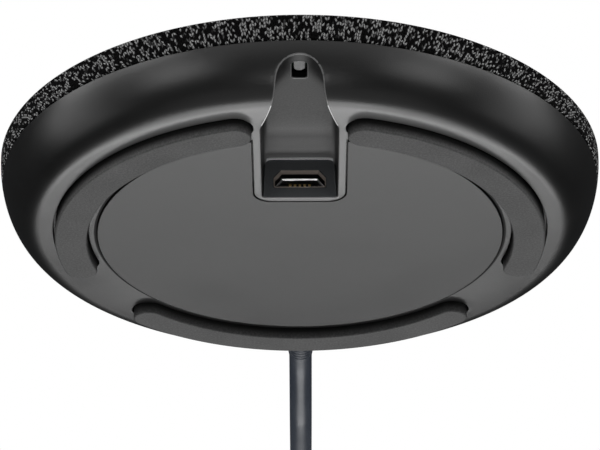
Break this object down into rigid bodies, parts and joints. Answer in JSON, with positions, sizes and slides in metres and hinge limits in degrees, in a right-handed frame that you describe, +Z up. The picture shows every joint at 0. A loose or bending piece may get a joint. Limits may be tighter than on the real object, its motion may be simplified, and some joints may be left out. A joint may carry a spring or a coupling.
{
  "type": "conference speakerphone",
  "caption": "Low round speakerphone with a fabric top, central push keys, curved rubber feet, a recessed port under the base and a captive USB lead.",
  "frame": {"origin": "centre of the round body on the surface it stands on, level with the underside of the rubber feet", "axes": "+Z up through the key island, -Y towards the port recess, +Y towards the captive lead, +X to the right seen from -Y"},
  "size_m": [0.1023, 0.2294, 0.0221],
  "materials": {
    "casing_plastic": "satin moulded charcoal plastic",
    "frame_plastic": "moulded black plastic",
    "bezel_plastic": "polished black plastic",
    "key_plastic": "fine matt black plastic",
    "pad_rubber": "matt grey rubber",
    "dark_rubber": "matt black rubber",
    "cover_fabric": "black and grey melange weave",
    "tie_fabric": "black hook-and-loop strap",
    "light_diffuser": "milky translucent plastic",
    "circuit_board": "green solder mask",
    "chip_plastic": "black moulding compound",
    "steel": "plain steel",
    "connector_steel": "bright plated steel",
    "zinc": "dull die casting",
    "copper": "enamelled copper wire",
    "cone_paper": "black paper pulp",
    "cord_jacket": "satin blue-grey jacket",
    "plug_plastic": "satin dark grey plastic"
  },
  "bodies": {
    "base": {"lower_casing": "casing_plastic", "bottom_plate": "casing_plastic", "foot_pad_right": "pad_rubber", "foot_pad_left": "pad_rubber", "foot_pad_rear": "pad_rubber", "casing_screw_1": "steel", "casing_screw_2": "steel", "casing_screw_3": "steel", "casing_screw_4": "steel", "fabric_cover": "cover_fabric", "grille_frame": "frame_plastic", "control_bezel": "bezel_plastic", "light_ring": "light_diffuser", "key_board": "circuit_board", "mute_switch": "steel", "end_switch": "steel", "volume_up_switch": "steel", "call_switch": "steel", "volume_down_switch": "steel", "driver_basket": "zinc", "driver_pot": "steel", "driver_magnet": "steel", "driver_top_plate": "steel", "driver_surround": "dark_rubber", "main_board": "circuit_board", "ballast_plate": "zinc", "processor_shield": "steel", "amplifier_chip": "chip_plastic", "codec_chip": "chip_plastic", "lead_header": "light_diffuser", "usb_shell": "connector_steel", "usb_tongue": "chip_plastic", "mic_board_1": "circuit_board", "mic_boot_1": "dark_rubber", "mic_board_2": "circuit_board", "mic_boot_2": "dark_rubber", "mic_board_3": "circuit_board", "mic_boot_3": "dark_rubber", "mic_board_4": "circuit_board", "mic_boot_4": "dark_rubber", "inner_lead": "cord_jacket", "strain_relief": "dark_rubber", "cord_lead": "cord_jacket", "cord_coil": "cord_jacket", "cord_tail": "cord_jacket", "cord_tie": "tie_fabric", "plug_body": "plug_plastic", "plug_shell": "connector_steel", "plug_tongue": "light_diffuser"},
    "mute_key": {"mute_key": "key_plastic"},
    "volume_up_key": {"volume_up_key": "key_plastic"},
    "volume_down_key": {"volume_down_key": "key_plastic"},
    "call_key": {"call_key": "key_plastic"},
    "end_key": {"end_key": "key_plastic"},
    "diaphragm": {"voice_coil": "copper", "driver_cone": "cone_paper", "dust_cap": "cone_paper"}
  },
  "joints": [
    {"name": "mute_press", "type": "slide", "parent": "base", "child": "mute_key", "axis": [0, 0, -1], "range_m": [0, 0.0004], "stiffness_N_per_m": 3000},
    {"name": "volume_up_press", "type": "slide", "parent": "base", "child": "volume_up_key", "axis": [0, 0, -1], "range_m": [0, 0.0004], "stiffness_N_per_m": 3000},
    {"name": "volume_down_press", "type": "slide", "parent": "base", "child": "volume_down_key", "axis": [0, 0, -1], "range_m": [0, 0.0004], "stiffness_N_per_m": 3000},
    {"name": "call_press", "type": "slide", "parent": "base", "child": "call_key", "axis": [0, 0, -1], "range_m": [0, 0.0004], "stiffness_N_per_m": 3000},
    {"name": "end_press", "type": "slide", "parent": "base", "child": "end_key", "axis": [0, 0, -1], "range_m": [0, 0.0004], "stiffness_N_per_m": 3000},
    {"name": "cone_travel", "type": "slide", "parent": "base", "child": "diaphragm", "axis": [0, 0, 1], "range_m": [-0.0004, 0.0004], "stiffness_N_per_m": 1500}
  ]
}
